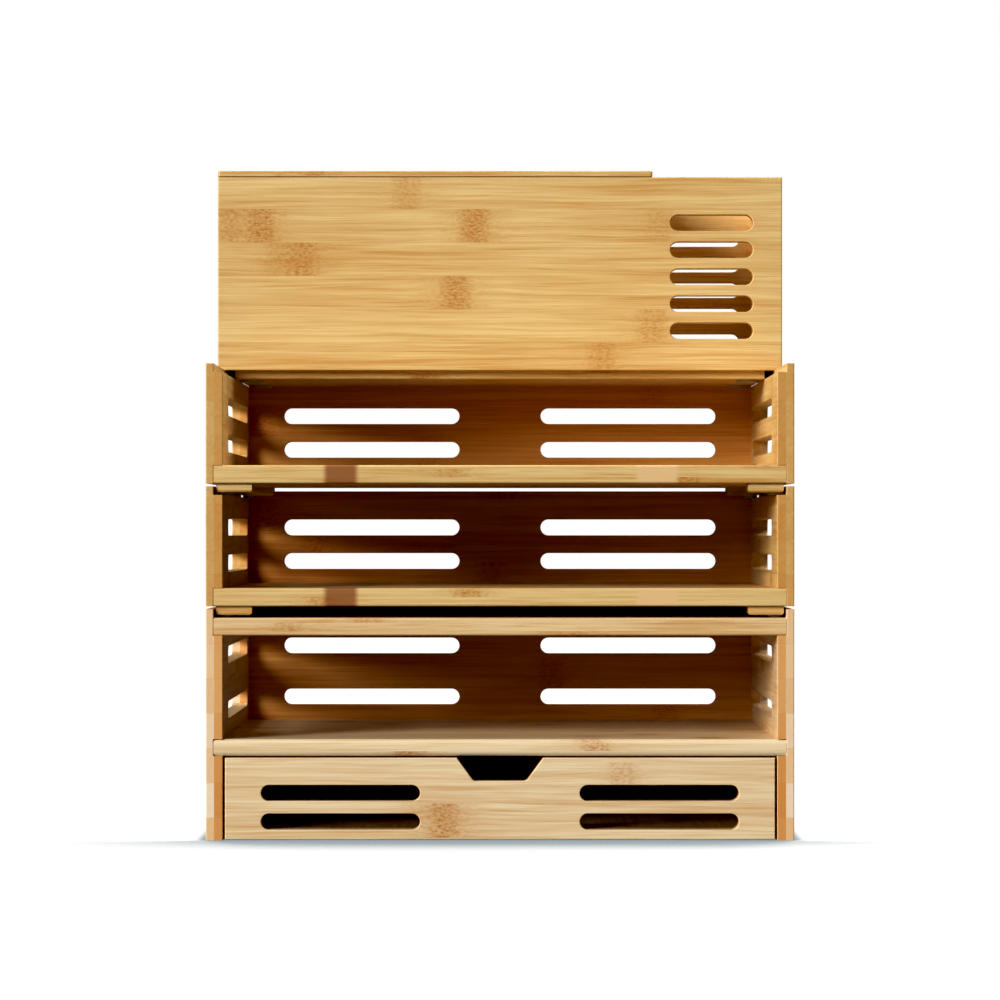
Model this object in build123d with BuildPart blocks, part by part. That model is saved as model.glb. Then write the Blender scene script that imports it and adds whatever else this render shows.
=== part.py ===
from build123d import *
import os

# Desk organizer in laminated bamboo: a base with a shelf bay and a drawer, two open trays on feet,
# and a pen and storage caddy with a hinged lid, stacked on each other without fasteners.
# Millimetres. The origin is the middle of the footprint on the desk, +Z is up, the front faces -Y.

# Whole object
width = 330.0
depth = 250.0
board = 9.6                         # thickness of the upright boards
skin = 4.4                          # outer part of a side board that is left beside a rebate
lip_height = 4.8                    # the side boards' outer lip above the face that feet stand on
back_drop = 0.6                     # the back panels end just under the lips
ease = 0.6                          # softened board edges
stack_gap = 0.05                    # play between modules that rest on each other

front = -depth / 2
rear = depth / 2
half = width / 2
inner = half - board                # inner face of the side boards
housed = half - skin                # end of a board that is let into the side boards
back_face = rear - board            # inner face of the back panels

# Base
base_height = 129.6
base_top_thick = 10.0
shelf_thick = 9.6
shelf_bottom = 47.2
base_floor_thick = 3.0
floor_setback = board + 0.4         # the thin bottom panel stops behind the drawer front
base_top_z = base_height - lip_height
shelf_top = shelf_bottom + shelf_thick

# Trays
tray_height = 67.3
tray_floor_thick = 10.3
foot_height = 5.0
foot_size = 20.0
foot_inset = 3.0                    # front feet behind the front edge
foot_clear = 0.8                    # rear feet ahead of the back panel below
foot_centre_x = 149.3
pad_radius = 4.0
pad_thick = 1.4
pad_centre_x = 154.5                # over the inner part of the side board below
module_gap = foot_height + pad_thick - lip_height
lower_tray_z = base_height + module_gap
upper_tray_z = lower_tray_z + tray_height + module_gap

# Hand and cable slots in the sides and backs
slot_height = 9.9
back_slot_length = 108.7
back_slot_x = 79.4
side_slot_length = 184.0
side_slot_y = 14.0
base_slot_rows = (14.1, 45.7)       # above the shelf
tray_slot_rows = (13.3, 34.1)       # above the tray's floor

# Drawer
drawer_gap = 1.1
drawer_low = 0.4
drawer_front_top = 46.3
drawer_side_thick = 8.0
drawer_side_inset = 1.0
drawer_box_low = 3.2
drawer_box_top = 42.0
drawer_floor_thick = 2.6
drawer_floor_let_in = 3.0
drawer_rear = 112.0
drawer_slot_length = 89.0
drawer_slot_height = 8.9
drawer_slot_x = 89.4
drawer_slot_rows = (10.5, 26.5)
notch_top = 48.4
notch_bottom = 29.5
notch_depth = 13.0
notch_round = 2.5

# Caddy
caddy_front = -24.0
caddy_rear = 121.5
caddy_z = upper_tray_z + tray_height + stack_gap
caddy_wall_height = 113.0
caddy_floor_thick = 10.0
caddy_floor_drop = 4.6              # how far the bottom board hangs into the tray below
divider_x = 87.4
pen_slot_length = 48.3
pen_slot_height = 9.4
pen_slot_x = 123.8
pen_slot_pitch = 15.8
pen_slot_first = 23.1               # lowest slot above the walls' lower edge
pen_slot_count = 5
bumper_radius = 7.0
bumper_thick = 1.8
bumper_x = 146.8
bumper_y = (8.0, 98.0)

# Lid and its hinges
lid_thick = 3.2
lid_gap = 0.4
lid_right = 89.2
hinge_width = 30.0
hinge_x = (-120.0, 44.0)
leaf_reach = 9.0                    # leaf depth from the caddy's rear face
leaf_thick = 0.7
leaf_gap = 0.1
knuckle_radius = 1.6
knuckle_offset = 1.8                # hinge axis behind the caddy's rear face
knuckle_count = 5
knuckle_play = 0.2
pin_radius = 0.8
pin_clearance = 0.05

# Fasteners and dowels
dowel_radius = 3.0
dowel_length = 20.0
dowel_bite = 6.6                    # the part of a dowel that sits in the board it meets face-on
screw_radius = 1.5
screw_length = 16.5
screw_head_radius = 2.4
small_screw_radius = 0.9
small_screw_length = 10.0
small_head_radius = 1.9
drive_width = 0.6

ALONG_X = (0, 90, 0)
ALONG_Y = (90, 0, 0)
INTO_X = (0, 90, 0)
INTO_MINUS_X = (0, -90, 0)
INTO_MINUS_Y = (90, 0, 0)
UP = (0, 0, 0)
DOWN = (180, 0, 0)
SIDES = (("left", -1), ("right", 1))
FROM_END = (Align.CENTER, Align.CENTER, Align.MIN)

os.makedirs("parts", exist_ok=True)


def save(piece, name):
    """Label a finished piece and write it as its own file."""
    piece.part.label = name
    export_step(piece.part, f"parts/{name}.step")


def block(low, high, mode=Mode.ADD):
    """A square-edged board between two opposite corners, added to or cut from the piece."""
    with Locations(tuple((a + b) / 2 for a, b in zip(low, high))):
        Box(*[abs(b - a) for a, b in zip(low, high)], mode=mode)


def cut_slots(plane, centres, length, height):
    """Round-ended slots through an upright board, about a plane in its middle."""
    with BuildSketch(plane) as outline:
        with Locations(*centres):
            SlotOverall(length, height)
    extrude(outline.sketch, amount=board, both=True, mode=Mode.SUBTRACT)


def slot_rims(piece, axis):
    """Edges round every slot on the two broad faces of a board."""
    broad = piece.faces().filter_by(axis).sort_by(SortBy.AREA)[-2:]
    return [edge for face in broad for wire in face.inner_wires() for edge in wire.edges()]


def dowels(centres, rotation, radius=dowel_radius, mode=Mode.ADD):
    """Plain dowel pins, or with Mode.SUBTRACT the blind holes that they fill."""
    with Locations(*centres):
        Cylinder(radius, dowel_length, rotation=rotation, mode=mode)


def screws(heads, rotation, radius=screw_radius, length=screw_length, head=screw_head_radius,
           mode=Mode.ADD):
    """Countersunk screws that start at the middle of their flat heads."""
    with Locations(*[Location(point, rotation) for point in heads]):
        Cylinder(radius, length, align=FROM_END, mode=mode)
        Cone(head, radius, head - radius, align=FROM_END, mode=mode)
        if mode == Mode.ADD:
            Box(1.3 * head, drive_width, drive_width, align=FROM_END, mode=Mode.SUBTRACT)
            Box(drive_width, 1.3 * head, drive_width, align=FROM_END, mode=Mode.SUBTRACT)


def front_edges(piece):
    """The long horizontal edges of a board at its front face."""
    return piece.edges().filter_by(Axis.X).group_by(Axis.Y)[0]


def outer_corners(piece):
    """The upright edges at the front and rear ends of a side board."""
    ends = piece.faces().filter_by(Axis.Y).sort_by(Axis.Y)
    return (ends[0].edges() + ends[-1].edges()).filter_by(Axis.Z)


# ---- Base ----

base_dowels_at = [(s * (inner + dowel_bite - dowel_length / 2), back_face + board / 2, z)
                  for s in (-1, 1) for z in (25.0, 86.0, 108.0)]
base_screws_at = [(x, rear, z) for x in (-100.0, 0.0, 100.0)
                  for z in (shelf_bottom + shelf_thick / 2, base_top_z - base_top_thick / 2)]
back_slot_plane = Plane.XZ.offset(-(back_face + board / 2))

for hand, s in SIDES:
    with BuildPart() as base_side:
        with BuildSketch(Plane.XZ.offset(-rear)):
            with BuildLine():
                Polyline(
                    (s * half, 0), (s * inner, 0),
                    (s * inner, shelf_bottom), (s * housed, shelf_bottom),
                    (s * housed, shelf_top), (s * inner, shelf_top),
                    (s * inner, base_top_z - base_top_thick),
                    (s * housed, base_top_z - base_top_thick),
                    (s * housed, base_height), (s * half, base_height),
                    close=True,
                )
            make_face()
        extrude(amount=depth)
        # The dado and the rebate stop at the back panel. The thin bottom sits behind the front.
        block((s * inner, back_face, shelf_bottom), (s * housed, rear, shelf_top))
        block((s * inner, back_face, base_top_z - base_top_thick), (s * housed, rear, base_top_z))
        block((s * inner, front + floor_setback, 0), (s * housed, rear, base_floor_thick),
              mode=Mode.SUBTRACT)
        cut_slots(Plane.YZ.offset(s * (inner + board / 2)),
                  [(side_slot_y, shelf_top + row) for row in base_slot_rows],
                  side_slot_length, slot_height)
        dowels(base_dowels_at, ALONG_X, mode=Mode.SUBTRACT)
        fillet(slot_rims(base_side, Axis.X), radius=ease)
        fillet(outer_corners(base_side), radius=ease)
    save(base_side, f"base_{hand}_side")

with BuildPart() as base_top:
    block((-housed, front, base_top_z - base_top_thick), (housed, back_face, base_top_z))
    screws(base_screws_at, INTO_MINUS_Y, mode=Mode.SUBTRACT)
    fillet(front_edges(base_top), radius=2 * ease)
save(base_top, "base_top")

with BuildPart() as base_shelf:
    block((-housed, front, shelf_bottom), (housed, back_face, shelf_top))
    screws(base_screws_at, INTO_MINUS_Y, mode=Mode.SUBTRACT)
    fillet(front_edges(base_shelf), radius=5 * ease)
save(base_shelf, "base_shelf")

with BuildPart() as base_back:
    block((-inner, back_face, base_floor_thick), (inner, rear, base_height - back_drop))
    cut_slots(back_slot_plane,
              [(s * back_slot_x, shelf_top + row) for s in (-1, 1) for row in base_slot_rows],
              back_slot_length, slot_height)
    dowels(base_dowels_at, ALONG_X, mode=Mode.SUBTRACT)
    screws(base_screws_at, INTO_MINUS_Y, mode=Mode.SUBTRACT)
    fillet(slot_rims(base_back, Axis.Y), radius=ease)
    fillet(base_back.edges().filter_by(Axis.X).group_by(Axis.Z)[-1], radius=ease)
save(base_back, "base_back")

with BuildPart() as base_bottom:
    block((-housed, front + floor_setback, 0), (housed, rear, base_floor_thick))
save(base_bottom, "base_bottom")

with BuildPart() as base_dowels:
    dowels(base_dowels_at, ALONG_X)
save(base_dowels, "base_dowels")

with BuildPart() as base_screws:
    screws(base_screws_at, INTO_MINUS_Y)
save(base_screws, "base_screws")


# ---- Drawer ----

drawer_half = inner - drawer_gap
drawer_side_out = drawer_half - drawer_side_inset
drawer_side_in = drawer_side_out - drawer_side_thick
drawer_back_face = drawer_rear - drawer_side_thick
drawer_inside = front + board
drawer_floor_top = drawer_box_low + drawer_floor_thick
drawer_floor_half = drawer_side_in + drawer_floor_let_in
drawer_dowel_radius = 2.5
drawer_dowel_rows = (16.0, 32.0)
drawer_front_dowels = [
    (s * (drawer_side_out - drawer_side_thick / 2), drawer_inside - dowel_bite + dowel_length / 2, z)
    for s in (-1, 1) for z in drawer_dowel_rows]
drawer_back_dowels = [
    (s * (drawer_side_out - 2.0 - dowel_length / 2), drawer_rear - drawer_side_thick / 2, z)
    for s in (-1, 1) for z in drawer_dowel_rows]

with BuildPart() as drawer_front:
    with BuildSketch(Plane.XZ.offset(-drawer_inside)):
        with BuildLine():
            Polyline(
                (-drawer_half, drawer_low), (drawer_half, drawer_low),
                (drawer_half, drawer_front_top), (notch_top / 2, drawer_front_top),
                (notch_bottom / 2, drawer_front_top - notch_depth),
                (-notch_bottom / 2, drawer_front_top - notch_depth),
                (-notch_top / 2, drawer_front_top), (-drawer_half, drawer_front_top),
                close=True,
            )
        outline = make_face()
        notch_floor = (0, drawer_inside, drawer_front_top - notch_depth)
        fillet(outline.vertices().sort_by_distance(notch_floor)[:2], radius=notch_round)
    extrude(amount=board)
    cut_slots(Plane.XZ.offset(-(front + board / 2)),
              [(s * drawer_slot_x, row) for s in (-1, 1) for row in drawer_slot_rows],
              drawer_slot_length, drawer_slot_height)
    dowels(drawer_front_dowels, ALONG_Y, drawer_dowel_radius, mode=Mode.SUBTRACT)
    fillet(slot_rims(drawer_front, Axis.Y), radius=ease)
    show_face = drawer_front.faces().filter_by(Axis.Y).sort_by(Axis.Y)[0]
    fillet(show_face.outer_wire().edges(), radius=ease)
save(drawer_front, "drawer_front")

for hand, s in SIDES:
    with BuildPart() as drawer_side:
        block((s * drawer_side_in, drawer_inside, drawer_box_low),
              (s * drawer_side_out, drawer_rear, drawer_box_top))
        block((s * drawer_side_in, drawer_inside, drawer_box_low),
              (s * drawer_floor_half, drawer_rear, drawer_floor_top), mode=Mode.SUBTRACT)
        dowels(drawer_front_dowels, ALONG_Y, drawer_dowel_radius, mode=Mode.SUBTRACT)
        dowels(drawer_back_dowels, ALONG_X, drawer_dowel_radius, mode=Mode.SUBTRACT)
        fillet(drawer_side.edges().filter_by(Axis.Y).group_by(Axis.Z)[-1], radius=ease)
    save(drawer_side, f"drawer_{hand}_side")

with BuildPart() as drawer_back:
    block((-drawer_side_in, drawer_back_face, drawer_floor_top),
          (drawer_side_in, drawer_rear, drawer_box_top))
    dowels(drawer_back_dowels, ALONG_X, drawer_dowel_radius, mode=Mode.SUBTRACT)
    fillet(drawer_back.edges().filter_by(Axis.X).group_by(Axis.Z)[-1], radius=ease)
save(drawer_back, "drawer_back")

with BuildPart() as drawer_bottom:
    block((-drawer_floor_half, drawer_inside, drawer_box_low),
          (drawer_floor_half, drawer_rear, drawer_floor_top))
save(drawer_bottom, "drawer_bottom")

with BuildPart() as drawer_dowels:
    dowels(drawer_front_dowels, ALONG_Y, drawer_dowel_radius)
    dowels(drawer_back_dowels, ALONG_X, drawer_dowel_radius)
save(drawer_dowels, "drawer_dowels")


# ---- Trays ----

def build_tray(name, low):
    """One open tray whose underside is at height low: boards, back, feet, pads and fixings."""
    high = low + tray_height
    floor_top = low + tray_floor_thick
    dowels_at = [(s * (inner + dowel_bite - dowel_length / 2), back_face + board / 2, low + z)
                 for s in (-1, 1) for z in (24.0, 56.0)]
    screws_at = [(s * 157.8, y, low) for s in (-1, 1) for y in (-70.0, 0.0, 70.0)]
    screws_at += [(x, back_face + board / 2, low) for x in (-80.0, 0.0, 80.0)]
    feet_y = [front + foot_inset + foot_size / 2, back_face - foot_clear - foot_size / 2]

    for hand, s in SIDES:
        with BuildPart() as tray_side:
            with BuildSketch(Plane.XZ.offset(-rear)):
                with BuildLine():
                    Polyline(
                        (s * half, low), (s * housed, low),
                        (s * housed, floor_top), (s * inner, floor_top),
                        (s * inner, high - lip_height), (s * housed, high - lip_height),
                        (s * housed, high), (s * half, high),
                        close=True,
                    )
                make_face()
            extrude(amount=depth)
            cut_slots(Plane.YZ.offset(s * (inner + board / 2)),
                      [(side_slot_y, floor_top + row) for row in tray_slot_rows],
                      side_slot_length, slot_height)
            dowels(dowels_at, ALONG_X, mode=Mode.SUBTRACT)
            screws(screws_at, UP, mode=Mode.SUBTRACT)
            fillet(slot_rims(tray_side, Axis.X), radius=ease)
            fillet(outer_corners(tray_side), radius=ease)
        save(tray_side, f"{name}_{hand}_side")

    with BuildPart() as tray_bottom:
        block((-housed, front, low), (housed, rear, floor_top))
        screws(screws_at, UP, mode=Mode.SUBTRACT)
        fillet(front_edges(tray_bottom), radius=2 * ease)
    save(tray_bottom, f"{name}_bottom")

    with BuildPart() as tray_back:
        block((-inner, back_face, floor_top), (inner, rear, high - back_drop))
        cut_slots(back_slot_plane,
                  [(s * back_slot_x, floor_top + row) for s in (-1, 1) for row in tray_slot_rows],
                  back_slot_length, slot_height)
        dowels(dowels_at, ALONG_X, mode=Mode.SUBTRACT)
        screws(screws_at, UP, mode=Mode.SUBTRACT)
        fillet(slot_rims(tray_back, Axis.Y), radius=ease)
        fillet(tray_back.edges().filter_by(Axis.X).group_by(Axis.Z)[-1], radius=ease)
    save(tray_back, f"{name}_back")

    with BuildPart() as feet:
        with Locations(*[(s * foot_centre_x, y, low - foot_height) for s in (-1, 1) for y in feet_y]):
            Box(foot_size, foot_size, foot_height, align=FROM_END)
        fillet(feet.edges().group_by(Axis.Z)[0], radius=3 * ease)
    save(feet, f"{name}_feet")

    with BuildPart() as foot_pads:
        pad_low = low - foot_height - pad_thick + stack_gap
        with Locations(*[(s * pad_centre_x, y, pad_low) for s in (-1, 1) for y in feet_y]):
            Cylinder(pad_radius, pad_thick - stack_gap, align=FROM_END)
        fillet(foot_pads.edges().group_by(Axis.Z)[0], radius=ease)
    save(foot_pads, f"{name}_foot_pads")

    with BuildPart() as tray_dowels:
        dowels(dowels_at, ALONG_X)
    save(tray_dowels, f"{name}_dowels")

    with BuildPart() as tray_screws:
        screws(screws_at, UP)
    save(tray_screws, f"{name}_screws")


build_tray("lower_tray", lower_tray_z)
build_tray("upper_tray", upper_tray_z)


# ---- Caddy ----

caddy_top = caddy_z + caddy_wall_height
caddy_floor_low = caddy_z - caddy_floor_drop
caddy_floor_top = caddy_floor_low + caddy_floor_thick
caddy_front_in = caddy_front + board
caddy_back_in = caddy_rear - board
wall_centres = (-(inner + board / 2), divider_x, inner + board / 2)
caddy_dowel_rows = [caddy_z + z for z in (22.0, 56.0, 90.0)]
caddy_dowels_at = [(x, y, z) for x in wall_centres for z in caddy_dowel_rows
                   for y in (caddy_front_in - dowel_bite + dowel_length / 2,
                             caddy_back_in + dowel_bite - dowel_length / 2)]
pen_slots_at = [(pen_slot_x, caddy_z + pen_slot_first + i * pen_slot_pitch)
                for i in range(pen_slot_count)]
wall_screw_z = caddy_z + 2.7
wall_screw_y = (10.0, 49.0, 88.0)

hinge_axis_y = caddy_rear + knuckle_offset
hinge_axis_z = caddy_top + lid_gap / 2
leaf_front = caddy_rear - leaf_reach
knuckle_length = hinge_width / knuckle_count
lid_low = caddy_top + lid_gap
lid_high = lid_low + lid_thick
leaf_fix_at = [(x + dx, leaf_front + leaf_reach / 2) for x in hinge_x for dx in (-9.0, 9.0)]
fixed_leaf_top = hinge_axis_z - leaf_gap / 2
moving_leaf_low = hinge_axis_z + leaf_gap / 2

for name, low_y, high_y in (("caddy_front", caddy_front, caddy_front_in),
                            ("caddy_back", caddy_back_in, caddy_rear)):
    with BuildPart() as panel:
        block((-half, low_y, caddy_z), (half, high_y, caddy_top))
        cut_slots(Plane.XZ.offset(-(low_y + high_y) / 2), pen_slots_at, pen_slot_length, pen_slot_height)
        dowels(caddy_dowels_at, ALONG_Y, mode=Mode.SUBTRACT)
        fillet(slot_rims(panel, Axis.Y), radius=ease)
        if name == "caddy_front":
            fillet(panel.faces().sort_by(Axis.Y)[0].outer_wire().edges(), radius=ease)
        else:
            fillet(panel.faces().sort_by(Axis.Y)[-1].outer_wire().edges(), radius=ease)
            for x in hinge_x:
                block((x - hinge_width / 2, leaf_front, fixed_leaf_top - leaf_thick),
                      (x + hinge_width / 2, high_y, caddy_top), mode=Mode.SUBTRACT)
            screws([(x, y, fixed_leaf_top) for x, y in leaf_fix_at], DOWN, small_screw_radius,
                   small_screw_length, small_head_radius, mode=Mode.SUBTRACT)
    save(panel, name)

for hand, s in SIDES:
    with BuildPart() as caddy_wall:
        block((s * inner, caddy_front_in, caddy_z), (s * half, caddy_back_in, caddy_top))
        dowels(caddy_dowels_at, ALONG_Y, mode=Mode.SUBTRACT)
        screws([(s * half, y, wall_screw_z) for y in wall_screw_y],
               INTO_MINUS_X if s > 0 else INTO_X, mode=Mode.SUBTRACT)
    save(caddy_wall, f"caddy_{hand}_wall")

with BuildPart() as caddy_divider:
    block((divider_x - board / 2, caddy_front_in, caddy_floor_top),
          (divider_x + board / 2, caddy_back_in, caddy_top))
    dowels(caddy_dowels_at, ALONG_Y, mode=Mode.SUBTRACT)
save(caddy_divider, "caddy_divider")

with BuildPart() as caddy_bottom:
    block((-inner, caddy_front_in, caddy_floor_low), (inner, caddy_back_in, caddy_floor_top))
    for s, inwards in ((-1, INTO_X), (1, INTO_MINUS_X)):
        screws([(s * half, y, wall_screw_z) for y in wall_screw_y], inwards, mode=Mode.SUBTRACT)
    fillet(front_edges(caddy_bottom).sort_by(Axis.Z)[0], radius=ease)
save(caddy_bottom, "caddy_bottom")

with BuildPart() as caddy_pads:
    with Locations(*[(s * bumper_x, y, caddy_floor_low - bumper_thick)
                     for s in (-1, 1) for y in bumper_y]):
        Cylinder(bumper_radius, bumper_thick, align=FROM_END)
    fillet(caddy_pads.edges().group_by(Axis.Z)[0], radius=2 * ease)
save(caddy_pads, "caddy_pads")

with BuildPart() as caddy_dowels:
    dowels(caddy_dowels_at, ALONG_Y)
save(caddy_dowels, "caddy_dowels")

with BuildPart() as caddy_screws:
    for s, inwards in ((-1, INTO_X), (1, INTO_MINUS_X)):
        screws([(s * half, y, wall_screw_z) for y in wall_screw_y], inwards)
save(caddy_screws, "caddy_screws")


# ---- Lid and hinges ----

def knuckles(first, radius, length):
    """Every second knuckle of both hinges, from the given one on."""
    centres = [(x - hinge_width / 2 + (i + 0.5) * knuckle_length, hinge_axis_y, hinge_axis_z)
               for x in hinge_x for i in range(first, knuckle_count, 2)]
    with Locations(*centres):
        Cylinder(radius, length, rotation=ALONG_X, mode=Mode.ADD)


def knuckle_room(first):
    """Room in a leaf for the other leaf's knuckles."""
    reach = knuckle_radius + knuckle_play
    centres = [(x - hinge_width / 2 + (i + 0.5) * knuckle_length, hinge_axis_y, hinge_axis_z)
               for x in hinge_x for i in range(first, knuckle_count, 2)]
    with Locations(*centres):
        Box(knuckle_length, 2 * reach, 2 * reach, mode=Mode.SUBTRACT)


def pins(radius, mode):
    """The hinge pins, or with Mode.SUBTRACT their bores."""
    with Locations(*[(x, hinge_axis_y, hinge_axis_z) for x in hinge_x]):
        Cylinder(radius, hinge_width, rotation=ALONG_X, mode=mode)


with BuildPart() as hinge_fixed_leaves:
    for x in hinge_x:
        block((x - hinge_width / 2, leaf_front, fixed_leaf_top - leaf_thick),
              (x + hinge_width / 2, hinge_axis_y, fixed_leaf_top))
    knuckle_room(1)
    knuckles(0, knuckle_radius, knuckle_length)
    pins(pin_radius, Mode.SUBTRACT)
    screws([(x, y, fixed_leaf_top) for x, y in leaf_fix_at], DOWN, small_screw_radius,
           small_screw_length, small_head_radius, mode=Mode.SUBTRACT)
save(hinge_fixed_leaves, "hinge_fixed_leaves")

with BuildPart() as hinge_pins:
    pins(pin_radius, Mode.ADD)
save(hinge_pins, "hinge_pins")

with BuildPart() as hinge_screws:
    screws([(x, y, fixed_leaf_top) for x, y in leaf_fix_at], DOWN, small_screw_radius,
           small_screw_length, small_head_radius)
save(hinge_screws, "hinge_screws")

with BuildPart() as hinge_moving_leaves:
    for x in hinge_x:
        block((x - hinge_width / 2, leaf_front, moving_leaf_low),
              (x + hinge_width / 2, hinge_axis_y, moving_leaf_low + leaf_thick))
    knuckle_room(0)
    knuckle_room(2)
    knuckles(1, knuckle_radius, knuckle_length - 2 * knuckle_play)
    pins(pin_radius + pin_clearance, Mode.SUBTRACT)
    screws([(x, y, lid_high) for x, y in leaf_fix_at], DOWN, small_screw_radius,
           lid_high - moving_leaf_low, small_head_radius, mode=Mode.SUBTRACT)
save(hinge_moving_leaves, "hinge_moving_leaves")

with BuildPart() as hinge_rivets:
    rivet_length = lid_high - moving_leaf_low
    with Locations(*[(x, y, moving_leaf_low) for x, y in leaf_fix_at]):
        Cylinder(small_screw_radius, rivet_length, align=FROM_END)
    with Locations(*[Location((x, y, lid_high), DOWN) for x, y in leaf_fix_at]):
        Cone(small_head_radius, small_screw_radius, small_head_radius - small_screw_radius,
             align=FROM_END)
save(hinge_rivets, "hinge_rivets")

with BuildPart() as lid:
    block((-half, caddy_front, lid_low), (lid_right, caddy_rear, lid_high))
    fillet(lid.edges().filter_by(Axis.Z), radius=2 * ease)
    fillet(lid.faces().sort_by(Axis.Z)[-1].outer_wire().edges(), radius=ease)
    for x in hinge_x:
        block((x - hinge_width / 2, leaf_front, lid_low),
              (x + hinge_width / 2, caddy_rear, moving_leaf_low + leaf_thick), mode=Mode.SUBTRACT)
    screws([(x, y, lid_high) for x, y in leaf_fix_at], DOWN, small_screw_radius,
           lid_high - moving_leaf_low, small_head_radius, mode=Mode.SUBTRACT)
save(lid, "lid")
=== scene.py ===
import math
from functools import partial

import bpy
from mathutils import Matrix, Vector


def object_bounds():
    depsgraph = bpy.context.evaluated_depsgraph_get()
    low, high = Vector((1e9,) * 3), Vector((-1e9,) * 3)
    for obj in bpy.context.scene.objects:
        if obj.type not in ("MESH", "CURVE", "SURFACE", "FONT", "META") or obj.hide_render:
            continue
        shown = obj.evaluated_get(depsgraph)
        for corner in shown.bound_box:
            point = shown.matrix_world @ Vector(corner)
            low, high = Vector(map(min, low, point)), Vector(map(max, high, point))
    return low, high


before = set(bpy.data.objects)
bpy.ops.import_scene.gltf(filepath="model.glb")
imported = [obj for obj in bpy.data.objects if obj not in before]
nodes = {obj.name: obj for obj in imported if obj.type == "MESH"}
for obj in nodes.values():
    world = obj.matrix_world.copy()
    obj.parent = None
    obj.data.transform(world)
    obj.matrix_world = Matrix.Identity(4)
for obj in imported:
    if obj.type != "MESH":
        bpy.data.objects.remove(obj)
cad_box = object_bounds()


# ---- Base: side boards, top, shelf, back and floor ----
# Boards of side-pressed bamboo, about 10 mm thick, glued up from strips 19.5 mm wide and finished
# with a satin clear lacquer. The shelf sits in dadoes, the top in rebates, and the back between
# the sides, on hidden dowels, with six screws through it into the shelf and the top.


def linear(colour):
    """An sRGB hex colour as linear red, green, blue and alpha."""
    parts = [int(colour[i:i + 2], 16) / 255 for i in (1, 3, 5)]
    return [p / 12.92 if p <= 0.04045 else ((p + 0.055) / 1.055) ** 2.4 for p in parts] + [1.0]


def node(tree, kind, *values, out=0, inputs=None, **settings):
    """Adds a node with its settings and inputs, and gives back one of its outputs, if it has any.

    values fill its inputs in order, and inputs fills them by name or number. Each is either
    another node's output or a plain value."""
    made = tree.nodes.new("ShaderNode" + kind)
    for name, value in settings.items():
        setattr(made, name, value)
    wires = dict(enumerate(values))
    wires.update(inputs or {})
    for name, value in wires.items():
        if isinstance(value, bpy.types.NodeSocket):
            tree.links.new(value, made.inputs[name])
        else:
            made.inputs[name].default_value = value
    return made.outputs[out] if made.outputs else None


def start_material(name):
    """An empty material: its adder of nodes, its surface shader and its object coordinates."""
    material = bpy.data.materials.new(name)
    material.use_nodes = True
    tree = material.node_tree
    tree.nodes.clear()
    add = partial(node, tree)
    surface = add("BsdfPrincipled")
    add("OutputMaterial", inputs={"Surface": surface})
    coords = add("TexCoord").node.outputs
    return material, add, surface.node, coords


def finish_surface(shader, wires, **fixed):
    """Links what varies over a surface to its shader, and sets what is the same all over it."""
    for name, output in wires.items():
        shader.id_data.links.new(output, shader.inputs[name])
    for name, value in fixed.items():
        shader.inputs[name.replace("_", " ")].default_value = value


FIBRE_MM = (45.0, 0.7)              # fine fibres: length and width
STREAK_MM = (110.0, 2.6)            # bundles of fibres that read as streaks
CLOUD_MM = (130.0, 15.0)            # slow change of tone along a culm
DRIFT_MM = (90.0, 12.0)             # the slow wander of the fibres
SWERVE_MM = (9.0, 6.0)              # their swerve round a node
FLECK_MM = (2.6, 1.2)               # the knotted flecks at a node of the culm


def figure(add, along, sideways, deep, size_mm, detail=3.0, rough=0.55):
    """The figure of wood: noise drawn out along the fibres, size_mm long and wide."""
    length, width = size_mm
    u = add("Math", along, length, operation="DIVIDE")
    v = add("Math", sideways, width, operation="DIVIDE")
    t = add("Math", deep, width, operation="DIVIDE")
    place = add("CombineXYZ", u, v, t)
    return add("TexNoise", inputs={"Vector": place, "Scale": 1.0, "Detail": detail, "Roughness": rough})


def band(add, place, middle, half, core, strength=1.0):
    """1 at the middle of a soft-edged band, times its strength, down to 0 at half its length."""
    gap = add("Math", place, middle, operation="SUBTRACT")
    gap = add("Math", gap, operation="ABSOLUTE")
    return add("MapRange", gap, half, core, 0.0, strength, interpolation_type="SMOOTHSTEP")


def within(add, place, middle, half):
    """1 where a place is less than half from the middle, and 0 elsewhere."""
    gap = add("Math", place, middle, operation="SUBTRACT")
    gap = add("Math", gap, operation="ABSOLUTE")
    return add("Math", gap, half, operation="LESS_THAN")


STRIP_MM = 19.5                     # width of one bamboo strip in the glued-up board
KNOT_HALF_MM = 12.0                 # half the length of a node's flecked band
HALO_HALF_MM = 30.0                 # and of the stretch where the fibres swerve and darken
CORE = 0.2                          # the share of that half that has the full strength
KNOT_EVERY_MM = 330.0               # distance between the nodes of one strip
FAINTEST_KNOT = 0.3                 # the least strength of a scattered one


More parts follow.
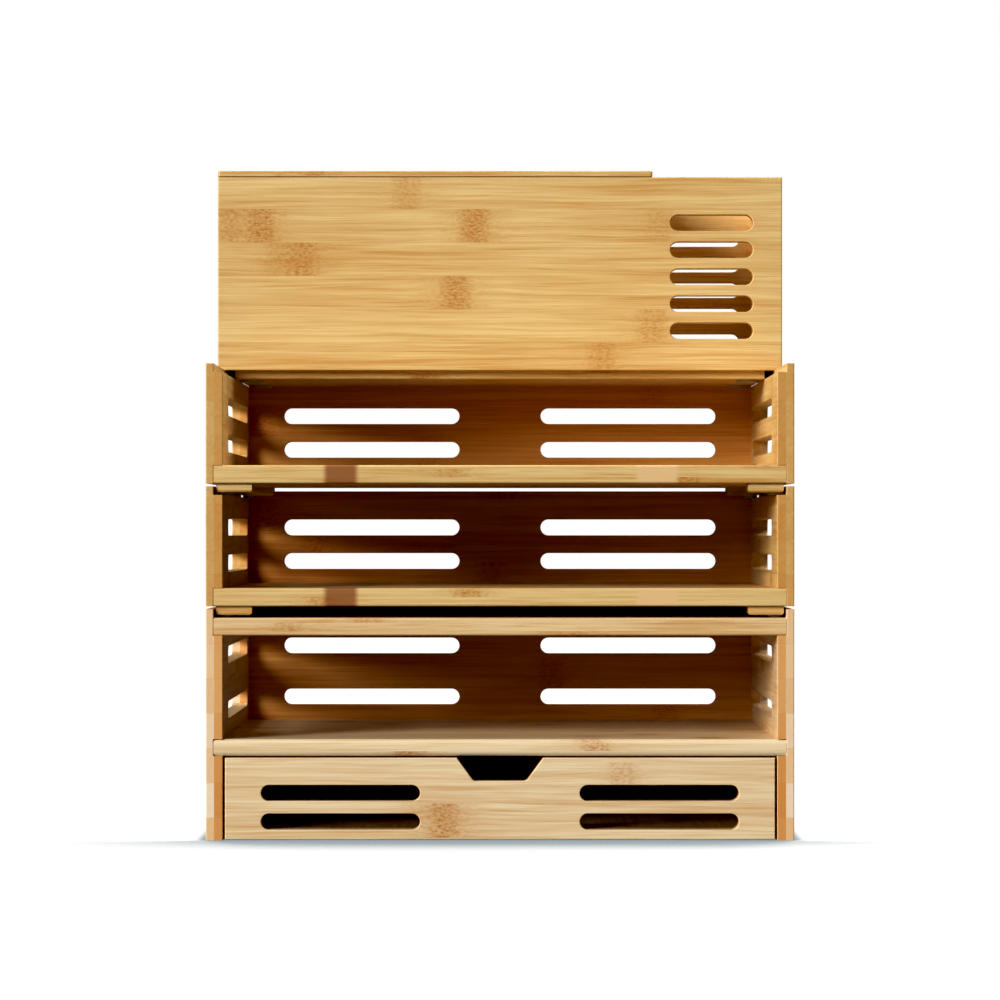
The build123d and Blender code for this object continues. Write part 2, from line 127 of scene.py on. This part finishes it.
def nodes_of_culm(add, u, v, draws, knots):
    """The flecked bands where strips cross a node of the culm, and the wider halo round them."""
    if knots is None:
        turn = add("Math", u, KNOT_EVERY_MM, operation="DIVIDE")
        turn = add("Math", turn, draws[1], operation="ADD")
        turn = add("Math", turn, operation="FRACT")
        chance = add("Math", draws[2], 1.0 - FAINTEST_KNOT, FAINTEST_KNOT, operation="MULTIPLY_ADD")
        found = []
        for half in (KNOT_HALF_MM, HALO_HALF_MM):
            share = half / KNOT_EVERY_MM
            near = band(add, turn, 0.5, share, CORE * share)
            found.append(add("Math", near, chance, operation="MULTIPLY"))
        return found

    found = [0.0, 0.0]
    for along, sideways, strength in knots:
        on_strip = within(add, v, sideways, STRIP_MM / 2)
        for i, half in enumerate((KNOT_HALF_MM, HALO_HALF_MM)):
            near = band(add, u, along, half, CORE * half, strength)
            found[i] = add("Math", near, on_strip, found[i], operation="MULTIPLY_ADD")
    return [add("Math", total, 1.0, operation="MINIMUM") for total in found]


MM = 1000.0                         # millimetres in a metre
LAYER_MM = 4.8                      # the boards are two strips thick
LAYER_PHASE = 0.58                  # puts the glue line of a side board beside its rebates
INNER_LAYER_MM = 160.3              # a side board's inner layer ends here, from the middle
STRIP_SHIFT_MM = 900.0              # strips are cut up to this far apart along the culm
END_FACING = 0.7                    # a face turned this far along the grain is end grain
END_FIGURE = 0.4                    # how much of the figure is left on end grain

SWERVE_BY_MM = 6.0                  # how far the fibres swerve at a node
DRIFT_BY_MM = 4.0                   # how far they wander elsewhere
TANGLE_BY_MM = 1.5                  # how far the flecks are stirred
FIBRE_SHARE = 0.58                  # how much each pattern says in the tone of the wood
STREAK_SHARE = 0.62
CLOUD_SHARE = 0.30
STRIP_SHARE = 0.16                  # and how much the strip's own draw says
MID_TONE = 0.6
AMBER_TO_HONEY = (0.42, 0.60)       # the tones where one colour passes into the next
HONEY_TO_PALE = (0.56, 0.80)

PATCH_SHARE = 0.45                  # how amber the patch at a node is
DARK_FIBRES = (0.45, 0.65, 0.1, 0.5)    # which fibres darken in the halo, and how far
SPECKLE = (0.38, 0.70)              # which part of the fleck pattern browns
KNOT_FLECKS = 0.75                  # how flecked a node is
HALO_FLECKS = 0.25                  # how flecked the halo round it is
FLECK_BROWN = 0.8
GLUE_LINE = (0.490, 0.499)          # where a strip's glue line starts and is full, from its middle
GLUE_BROWN = 0.22
BLOCK_EDGE_MM = 2.0                 # the soft ends of a length of strip of another tone

LACQUER_ROUGH = 0.36                # roughness of the lacquer, and what the fibres add to it
FIBRE_ROUGH = 0.22
STREAK_RELIEF = 0.4                 # streaks stand up and flecks sink, against the fibres
FLECK_RELIEF = 0.3
RELIEF_M = 0.00012                  # depth of the open pores under the lacquer
RELIEF_STRENGTH = 0.5

COLOURS = {"out": 2, "data_type": "RGBA"}   # a Mix of colours, whose inputs are 0, 6 and 7
BAMBOO_PALE = "#F0DEBC"
BAMBOO_HONEY = "#E4CAA2"
BAMBOO_AMBER = "#D8B17C"
BAMBOO_KNOT = "#B8752F"
BAMBOO_END = "#FFF3E2"              # sanded end grain of the palest strips
WHITE = "#FFFFFF"                   # a cast that changes nothing
END_DRAW = "#F1DCC0"                # the deepest cast of one block of end grain
GOLDEN_BATCH = "#F5ECCD"            # the boards of the trays and caddy


def laminated_bamboo(name, grain, across, through, seed, phase=0.0, knots=None, blocks=(),
                     batch=GOLDEN_BATCH, layers=(WHITE, "#FAEEDC"), pale_ends=0.0, paler=0.0):
    """Side-pressed bamboo under satin lacquer.

    The eye sees strips of slightly different tone, long fine fibres with paler and amber streaks,
    flecked brown bands where a strip crosses a node of the culm, and plain blocks of end grain.
    grain, across and through name the board's axes. knots lists nodes of the culm as (place along
    the grain, place across, strength), and None scatters them. blocks lists lengths of strip of
    another tone as (place along, half length, place across, half width, colour, strength). batch
    is the cast of the whole board against the others, and layers the casts of its two layers as
    they show in end grain, outer layer first. pale_ends is how far the sanded ends pale, and paler
    how far the whole board leans to the pale fibres."""
    material, add, shader, coords = start_material(name)
    axes = {"x": 0, "y": 1, "z": 2}

    in_mm = add("VectorMath", coords["Object"], (MM,) * 3, operation="MULTIPLY")
    place = add("SeparateXYZ", in_mm).node.outputs
    u, v, t = (place[axes[a]] for a in (grain, across, through))

    # Which strip, and its own draw of tone and lengthways shift.
    strips = add("Math", v, STRIP_MM, operation="DIVIDE")
    strips = add("Math", strips, phase, operation="ADD")
    strip = add("Math", strips, operation="FLOOR")
    depth = add("Math", t, operation="ABSOLUTE")
    layer = add("Math", depth, LAYER_MM, operation="DIVIDE")
    layer = add("Math", layer, LAYER_PHASE, operation="ADD")
    layer = add("Math", layer, operation="FLOOR")
    draw_at = add("CombineXYZ", strip, layer, seed)
    draw = add("TexWhiteNoise", inputs={"Vector": draw_at}, noise_dimensions="3D")
    draws = add("SeparateColor", draw.node.outputs["Color"]).node.outputs
    shifted = add("Math", draw, STRIP_SHIFT_MM, u, operation="MULTIPLY_ADD")

    # End grain shows no nodes and little figure.
    facing = add("SeparateXYZ", coords["Normal"]).node.outputs[axes[grain]]
    facing = add("Math", facing, operation="ABSOLUTE")
    end_grain = add("Math", facing, END_FACING, operation="GREATER_THAN")
    long_grain = add("Math", 1.0, end_grain, operation="SUBTRACT")

    knot, halo = nodes_of_culm(add, u, v, draws, knots)
    knot = add("Math", knot, long_grain, operation="MULTIPLY")

    # Fibres wander, and swerve round a node.
    swerve = add("Math", figure(add, u, v, t, SWERVE_MM, 1.0), 0.5, operation="SUBTRACT")
    drift = add("Math", figure(add, shifted, v, t, DRIFT_MM, 1.0), 0.5, operation="SUBTRACT")
    reach = add("Math", halo, SWERVE_BY_MM, operation="MULTIPLY")
    bent = add("Math", swerve, reach, v, operation="MULTIPLY_ADD")
    bent = add("Math", drift, DRIFT_BY_MM, bent, operation="MULTIPLY_ADD")
    tangled = add("Math", swerve, TANGLE_BY_MM, v, operation="MULTIPLY_ADD")

    fibre = figure(add, shifted, bent, t, FIBRE_MM, rough=0.6)
    streak = figure(add, shifted, bent, t, STREAK_MM)
    cloud = figure(add, shifted, v, t, CLOUD_MM, 1.0)
    fleck = figure(add, shifted, tangled, t, FLECK_MM, rough=0.6)

    # The tone of the wood, from amber through honey to pale.
    tone = add("Math", fibre, FIBRE_SHARE, operation="MULTIPLY")
    tone = add("Math", streak, STREAK_SHARE, tone, operation="MULTIPLY_ADD")
    cloud = add("Math", cloud, 0.5, operation="SUBTRACT")
    tone = add("Math", cloud, CLOUD_SHARE, tone, operation="MULTIPLY_ADD")
    tone = add("Math", tone, MID_TONE, operation="SUBTRACT")
    kept = add("Math", long_grain, 1.0 - END_FIGURE, END_FIGURE, operation="MULTIPLY_ADD")
    tone = add("Math", tone, kept, MID_TONE, operation="MULTIPLY_ADD")
    own = add("Math", draws[0], 0.5, operation="SUBTRACT")
    tone = add("Math", own, STRIP_SHARE, tone, operation="MULTIPLY_ADD")
    tone = add("Math", tone, paler, operation="ADD")
    honey = add("MapRange", tone, *AMBER_TO_HONEY, interpolation_type="SMOOTHSTEP")
    colour = add("Mix", inputs={0: honey, 6: linear(BAMBOO_AMBER), 7: linear(BAMBOO_HONEY)}, **COLOURS)
    pale = add("MapRange", tone, *HONEY_TO_PALE, interpolation_type="SMOOTHSTEP")
    colour = add("Mix", inputs={0: pale, 6: colour, 7: linear(BAMBOO_PALE)}, **COLOURS)

    # A node is an amber patch with brown flecks, and its halo has darker fibres.
    dark_fibres = add("MapRange", fibre, *DARK_FIBRES, interpolation_type="SMOOTHSTEP")
    dark_fibres = add("Math", halo, dark_fibres, operation="MULTIPLY")
    patch = add("Math", knot, PATCH_SHARE, dark_fibres, operation="MULTIPLY_ADD")
    colour = add("Mix", inputs={0: patch, 6: colour, 7: linear(BAMBOO_AMBER)}, **COLOURS)
    spread = add("Math", halo, HALO_FLECKS, operation="MULTIPLY")
    spread = add("Math", knot, KNOT_FLECKS, spread, operation="MULTIPLY_ADD")
    speckle = add("MapRange", fleck, *SPECKLE, interpolation_type="SMOOTHSTEP")
    flecked = add("Math", spread, speckle, operation="MULTIPLY")
    browned = add("Math", flecked, FLECK_BROWN, operation="MULTIPLY")
    colour = add("Mix", inputs={0: browned, 6: colour, 7: linear(BAMBOO_KNOT)}, **COLOURS)

    for along, half_long, sideways, half_wide, block_colour, strength in blocks:
        inside = band(add, u, along, half_long + BLOCK_EDGE_MM, half_long - BLOCK_EDGE_MM, strength)
        on_strip = within(add, v, sideways, half_wide)
        inside = add("Math", inside, on_strip, operation="MULTIPLY")
        colour = add("Mix", inputs={0: inside, 6: colour, 7: linear(block_colour)}, **COLOURS)

    # The blocks of end grain differ more in tone than the faces of the strips.
    inner_layer = add("Math", depth, INNER_LAYER_MM, operation="LESS_THAN")
    cast = add("Mix", inputs={0: inner_layer, 6: linear(layers[0]), 7: linear(layers[1])}, **COLOURS)
    own = add("Mix", inputs={0: draw, 6: linear(WHITE), 7: linear(END_DRAW)}, **COLOURS)
    cast = add("Mix", inputs={0: 1.0, 6: cast, 7: own}, blend_type="MULTIPLY", **COLOURS)
    sanded = add("Mix", inputs={0: pale_ends, 6: colour, 7: linear(BAMBOO_END)}, **COLOURS)
    sanded = add("Mix", inputs={0: 1.0, 6: sanded, 7: cast}, blend_type="MULTIPLY", **COLOURS)
    colour = add("Mix", inputs={0: end_grain, 6: colour, 7: sanded}, **COLOURS)

    # The glue line between two strips is a hair darker.
    from_middle = add("Math", strips, operation="FRACT")
    from_middle = add("Math", from_middle, 0.5, operation="SUBTRACT")
    from_middle = add("Math", from_middle, operation="ABSOLUTE")
    glue_line = add("MapRange", from_middle, *GLUE_LINE, interpolation_type="SMOOTHSTEP")
    glue_line = add("Math", glue_line, GLUE_BROWN, operation="MULTIPLY")
    colour = add("Mix", inputs={0: glue_line, 6: colour, 7: linear(BAMBOO_KNOT)}, **COLOURS)
    wires = {0: 1.0, 6: colour, 7: linear(batch)}
    colour = add("Mix", inputs=wires, blend_type="MULTIPLY", **COLOURS)

    rough = add("Math", fibre, FIBRE_ROUGH, LACQUER_ROUGH, operation="MULTIPLY_ADD")
    relief = add("Math", streak, STREAK_RELIEF, fibre, operation="MULTIPLY_ADD")
    sunk = add("Math", flecked, FLECK_RELIEF, glue_line, operation="MULTIPLY_ADD")
    relief = add("Math", relief, sunk, operation="SUBTRACT")
    wires = {"Strength": RELIEF_STRENGTH, "Distance": RELIEF_M, "Height": relief}
    bump = add("Bump", inputs=wires)
    finish_surface(shader, {"Base Color": colour, "Roughness": rough, "Normal": bump},
                   IOR=1.5, Coat_Weight=0.12, Coat_Roughness=0.3)
    return material


def dress(material, *names):
    """Gives a material to carried-over CAD pieces."""
    for name in names:
        piece = nodes[name]
        if not piece.material_slots:
            piece.data.materials.append(material)
        for held in piece.material_slots:
            held.material = material


BLOND_BATCH = WHITE                 # the paler boards of the base and drawer
HONEY_BATCH = "#FBF3E4"             # the top of the base
BACKS_PAINTED_SHADE_CAST = "#F3CA8E"              # painted shade: a deeper, more orange cast on the backs, for the shade they stand in

blond_side_bamboo = laminated_bamboo(
    "blond_bamboo_sides", "y", "z", "x", 3.0, 0.35, batch=BLOND_BATCH,
    layers=(WHITE, "#EDCB9B"), pale_ends=0.6)
dress(blond_side_bamboo, "base_left_side", "base_right_side")
top_bamboo = laminated_bamboo("honey_bamboo_top", "x", "y", "z", 5.0, 0.2, batch=HONEY_BATCH)
dress(top_bamboo, "base_top")
shelf_bamboo = laminated_bamboo(
    "blond_bamboo_shelf", "x", "y", "z", 9.0, 0.2, batch=BLOND_BATCH, paler=0.14)
dress(shelf_bamboo, "base_shelf")
# The backs of the base, trays and drawer get a deeper, more orange cast than the other boards. It is
# painted shade, for the shade they stand in inside the organizer, not a different wood.
backs_painted_shade_bamboo = laminated_bamboo("backs_bamboo_painted_shade", "x", "z", "y", 8.0, 0.1, batch=BACKS_PAINTED_SHADE_CAST)
dress(backs_painted_shade_bamboo, "base_back")
floor_bamboo = laminated_bamboo("bamboo_ply", "y", "x", "z", 13.0)
dress(floor_bamboo, "base_bottom")


def speckled(add, coords, scale, dark, light, detail=3.0):
    """A fine speckle, so many to the metre, and the colour that it gives a surface."""
    speckle = add("TexNoise", inputs={"Vector": coords["Object"], "Scale": scale, "Detail": detail})
    wires = {0: speckle, 6: linear(dark), 7: linear(light)}
    return speckle, add("Mix", inputs=wires, **COLOURS)


def turned_dowel():
    """Fluted dowel pins of beech, raw: fine short pores, and no gloss."""
    material, add, shader, coords = start_material("beech_dowel")
    colour = speckled(add, coords, 900.0, "#C49A6C", "#E0C091")[1]
    finish_surface(shader, {"Base Color": colour}, Roughness=0.7)
    return material


beech = turned_dowel()
dress(beech, "base_dowels")


def zinc_plated_steel():
    """Zinc-plated steel screws: a grey, slightly mottled satin metal."""
    material, add, shader, coords = start_material("zinc_plated_steel")
    mottle, colour = speckled(add, coords, 1400.0, "#A9A9A4", "#D2D1CB", detail=4.0)
    rough = add("MapRange", mottle, 0.0, 1.0, 0.28, 0.5)
    finish_surface(shader, {"Base Color": colour, "Roughness": rough}, Metallic=1.0)
    return material


zinc = zinc_plated_steel()
dress(zinc, "base_screws")


# ---- Drawer ----
# An inset drawer: the front is one bamboo board with two pairs of slots and a finger notch, and the
# box behind it is thinner bamboo on dowels, with a ply floor let in below. It runs on the base floor.

drawer_bamboo = laminated_bamboo(
    "blond_bamboo_drawer_front", "x", "z", "y", 21.0, -0.07,
    knots=((-31.5, 11.0, 0.95), (69.0, 34.0, 0.45)), batch=BLOND_BATCH, paler=0.03)
dress(drawer_bamboo, "drawer_front")
dress(blond_side_bamboo, "drawer_left_side", "drawer_right_side")
# The drawer's back takes the backs' painted shade.
dress(backs_painted_shade_bamboo, "drawer_back")
dress(floor_bamboo, "drawer_bottom")
dress(beech, "drawer_dowels")


# ---- Lower and upper tray ----
# Open trays: two side boards, a bottom board let into them and a back between them, with four glued
# bamboo feet. Screws go up through the bottom, and clear rubber pads sit under the feet.

CARAMEL_LENGTH = (-89.3, 9.0, -119.0, 8.0, "#9C6238", 0.85)     # a short dark length of strip
BLOND_LENGTH = (88.1, 11.5, -119.0, 8.0, "#F3DAC0", 0.95)       # and a short pale one

side_bamboo = laminated_bamboo("golden_bamboo_sides", "y", "z", "x", 3.0, 0.35)
level_bamboo = laminated_bamboo("golden_bamboo_level", "x", "y", "z", 5.0, 0.2)
tray_bamboo = laminated_bamboo(
    "golden_bamboo_tray_bottoms", "x", "y", "z", 34.0, paler=0.05,
    blocks=(CARAMEL_LENGTH, BLOND_LENGTH))


def clear_rubber():
    """Clear bumper rubber: milky, see-through at thin edges, with a soft satin face and fine dust."""
    material, add, shader, coords = start_material("clear_rubber")
    dust, colour = speckled(add, coords, 2500.0, "#CFC9B8", "#E9E5D8")
    rough = add("MapRange", dust, 0.0, 1.0, 0.25, 0.45)
    finish_surface(shader, {"Base Color": colour, "Roughness": rough},
                   Transmission_Weight=0.5, IOR=1.43)
    return material


rubber = clear_rubber()
for tray in ("lower_tray", "upper_tray"):
    dress(side_bamboo, f"{tray}_left_side", f"{tray}_right_side")
    dress(tray_bamboo, f"{tray}_bottom")
    # The tray backs take the backs' painted shade.
    dress(backs_painted_shade_bamboo, f"{tray}_back")
    dress(level_bamboo, f"{tray}_feet")
    dress(rubber, f"{tray}_foot_pads")
    dress(beech, f"{tray}_dowels")
    dress(zinc, f"{tray}_screws")


# ---- Caddy ----
# A box on the upper tray: front and back panels cover the ends of the walls and the divider, on
# hidden dowels, and the bottom board hangs a little below the walls. Pens stand at the slotted end.

caddy_bamboo = laminated_bamboo(
    "golden_bamboo_caddy_front", "x", "z", "y", 55.0, 0.457,
    knots=((-140.0, 351.9, 0.95), (-158.0, 351.9, 0.5), (-115.0, 332.3, 0.75), (-129.0, 332.3, 0.35),
           (-54.5, 371.3, 0.45), (-15.0, 351.9, 0.95), (-26.0, 312.9, 0.9), (94.0, 351.9, 0.35),
           (89.0, 293.4, 0.55), (60.0, 273.8, 0.6)))
dress(caddy_bamboo, "caddy_front")
upright_bamboo = laminated_bamboo("golden_bamboo_uprights", "x", "z", "y", 71.0, 0.457)
dress(upright_bamboo, "caddy_back")
dress(side_bamboo, "caddy_left_wall", "caddy_right_wall", "caddy_divider")
dress(level_bamboo, "caddy_bottom")
dress(rubber, "caddy_pads")
dress(beech, "caddy_dowels")
dress(zinc, "caddy_screws")


# ---- Lid and hinges ----
# A thin bamboo board on two small brass butt hinges. The leaves are let into the wood, screwed to
# the back panel and riveted through the lid.

dress(level_bamboo, "lid")


def satin_brass():
    """Rolled brass, satin: warm metal with fine rolling lines and a little tarnish."""
    material, add, shader, coords = start_material("satin_brass")
    along_x = add("VectorMath", coords["Object"], (200.0, 4000.0, 4000.0), operation="MULTIPLY")
    lines = add("TexNoise", inputs={"Vector": along_x, "Scale": 1.0, "Detail": 3.0})
    colour = speckled(add, coords, 160.0, "#B48A45", "#E3C077")[1]
    rough = add("MapRange", lines, 0.0, 1.0, 0.22, 0.42)
    finish_surface(shader, {"Base Color": colour, "Roughness": rough}, Metallic=1.0)
    return material


brass = satin_brass()
dress(brass, "hinge_fixed_leaves", "hinge_moving_leaves", "hinge_pins", "hinge_rivets", "hinge_screws")


# ---- Studio: floor, lamps and camera ----
# A white floor in a white surround, which both read as seamless paper. A broad soft key comes from
# the front left, as from a window, with weaker lamps above, at the left, at the right and behind.

FLOOR_HALF = 9.0
PAINTED_SHADOW_REACH = (0.135, 0.008)      # how far the painted contact shadow spreads, in front and elsewhere
PAINTED_SHADOW_START = 0.015               # the one passes into the other over this length
PAINTED_SHADOW_RANGE = (0.68, 0.96)        # openness of the floor where the painted shadow is full, and where none
CAMERA_BACK = 2.313                 # from the front plane of the organizer
CAMERA_HEIGHT = 0.174
LENS_MM = 148.55
FRAME_SHIFT = 0.03
SURROUND_TINT = (1.0, 0.96, 0.92, 1.0)
SURROUND_LIGHT = 0.045              # how bright the surround is to what it lights
SURROUND_GLOSS = 0.12               # and how much brighter in reflections
AIM = (0.0, 0.0, 0.2)               # the middle of the organizer, where the lamps point
VIEW_GAMMA = 0.78                   # with the black level, the contrast of a printed catalogue
VIEW_BLACK = 0.018

front = cad_box[0][1]


def floor_paper():
    """White backdrop paper that glows evenly white and shows no grain, with a soft contact shadow
    painted into its glow in front.
    """
    material, add, shader, coords = start_material("white_backdrop_paper")
    colour = speckled(add, coords, 6.0, "#3A3A3A", "#404040")[1]
    y = add("SeparateXYZ", coords["Object"]).node.outputs[1]
    reach = add("MapRange", y, front - PAINTED_SHADOW_START, front, *PAINTED_SHADOW_REACH)
    # Painted contact shadow: the floor's glow darkens where the floor is closed in, rather than where
    # lamps are blocked.
    openness = add("AmbientOcclusion", out=1, inputs={"Distance": reach}, samples=8)
    clear = add("MapRange", openness, *PAINTED_SHADOW_RANGE)
    wires = {0: clear, 6: linear("#9CA9AE"), 7: linear(WHITE)}
    glow_with_painted_shadow = add("Mix", inputs=wires, **COLOURS)
    finish_surface(shader, {"Base Color": colour, "Emission Color": glow_with_painted_shadow},
                   Roughness=0.9, Emission_Strength=1.0)
    return material


bpy.ops.mesh.primitive_plane_add(size=2 * FLOOR_HALF, location=(0, 0, 0))
floor = bpy.context.object
floor.name = "studio_floor"
floor.data.materials.append(floor_paper())
floor.visible_diffuse = False
floor.visible_glossy = False

world = bpy.data.worlds.new("studio_surround")
bpy.context.scene.world = world
world.use_nodes = True
world.node_tree.nodes.clear()
add = partial(node, world.node_tree)
seen = add("Background", linear(WHITE), 1.0)
rays = add("LightPath").node.outputs
strength = add("Math", rays["Is Glossy Ray"], SURROUND_GLOSS, SURROUND_LIGHT, operation="MULTIPLY_ADD")
cast = add("Background", SURROUND_TINT, strength)
light = add("MixShader", rays["Is Camera Ray"], cast, seen)
add("OutputWorld", inputs={"Surface": light})


def lamp(name, kind, place, power, size, colour=(1.0, 1.0, 1.0)):
    """A soft lamp aimed at the middle of the organizer."""
    data = bpy.data.lights.new(name, kind)
    data.energy = power
    data.color = colour
    if kind == "SUN":
        data.angle = size
    else:
        data.shape = "SQUARE"
        data.size = size
    made = bpy.data.objects.new(name, data)
    made.location = place
    aim = Vector(AIM) - Vector(place)
    made.rotation_euler = aim.to_track_quat("-Z", "Y").to_euler()
    bpy.context.scene.collection.objects.link(made)


lamp("key_lamp", "SUN", (-1.6, -1.9, 1.0), 3.8, 0.45, (1.0, 0.985, 0.96))
lamp("top_lamp", "AREA", (0.3, 0.0, 2.0), 8.0, 0.8)
lamp("left_lamp", "AREA", (-1.8, -0.35, 0.65), 9.0, 0.25)
lamp("right_fill", "AREA", (1.9, 0.5, 2.3), 50.0, 1.0, (1.0, 0.97, 0.93))
lamp("rear_fill", "AREA", (0.8, 1.7, 2.3), 42.0, 1.0, (1.0, 0.96, 0.92))

eye = bpy.data.cameras.new("camera")
eye.lens = LENS_MM
eye.sensor_width = 36.0
eye.shift_y = FRAME_SHIFT
camera = bpy.data.objects.new("camera", eye)
bpy.context.scene.collection.objects.link(camera)
camera.location = (0.0, front - CAMERA_BACK, CAMERA_HEIGHT)
camera.rotation_euler = (math.radians(90.0), 0.0, 0.0)
bpy.context.scene.camera = camera

view = bpy.context.scene.view_settings
view.view_transform = "Standard"
view.gamma = VIEW_GAMMA
view.use_curve_mapping = True
view.curve_mapping.black_level = (VIEW_BLACK,) * 3
view.curve_mapping.update()
